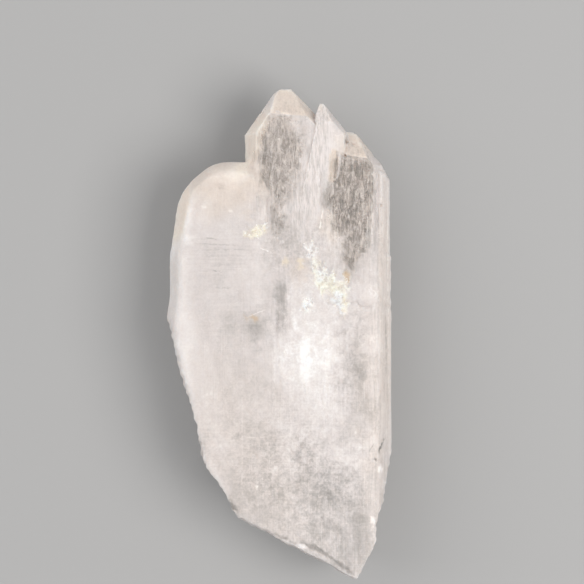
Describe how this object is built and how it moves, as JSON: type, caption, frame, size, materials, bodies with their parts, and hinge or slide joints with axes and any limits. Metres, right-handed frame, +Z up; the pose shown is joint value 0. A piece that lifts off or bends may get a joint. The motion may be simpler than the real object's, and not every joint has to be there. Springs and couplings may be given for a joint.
{
  "type": "cathedral quartz crystal",
  "caption": "Clear to milky quartz crystal of the cathedral habit: parallel columns with stepped tips, lying on a prism face, with a broken root.",
  "frame": {"origin": "below the middle of the crystal's outline, on the surface that it lies on", "axes": "+X to the right of the crystal, +Y along its length towards the tips, +Z up from the face that it lies on to the broad front face"},
  "size_m": [0.046, 0.0992, 0.0205],
  "materials": {
    "quartz": "clear at the tips and milky in the body, with natural faces and broken ends"
  },
  "bodies": {
    "root": {"quartz_crystal": "quartz"}
  },
  "joints": []
}
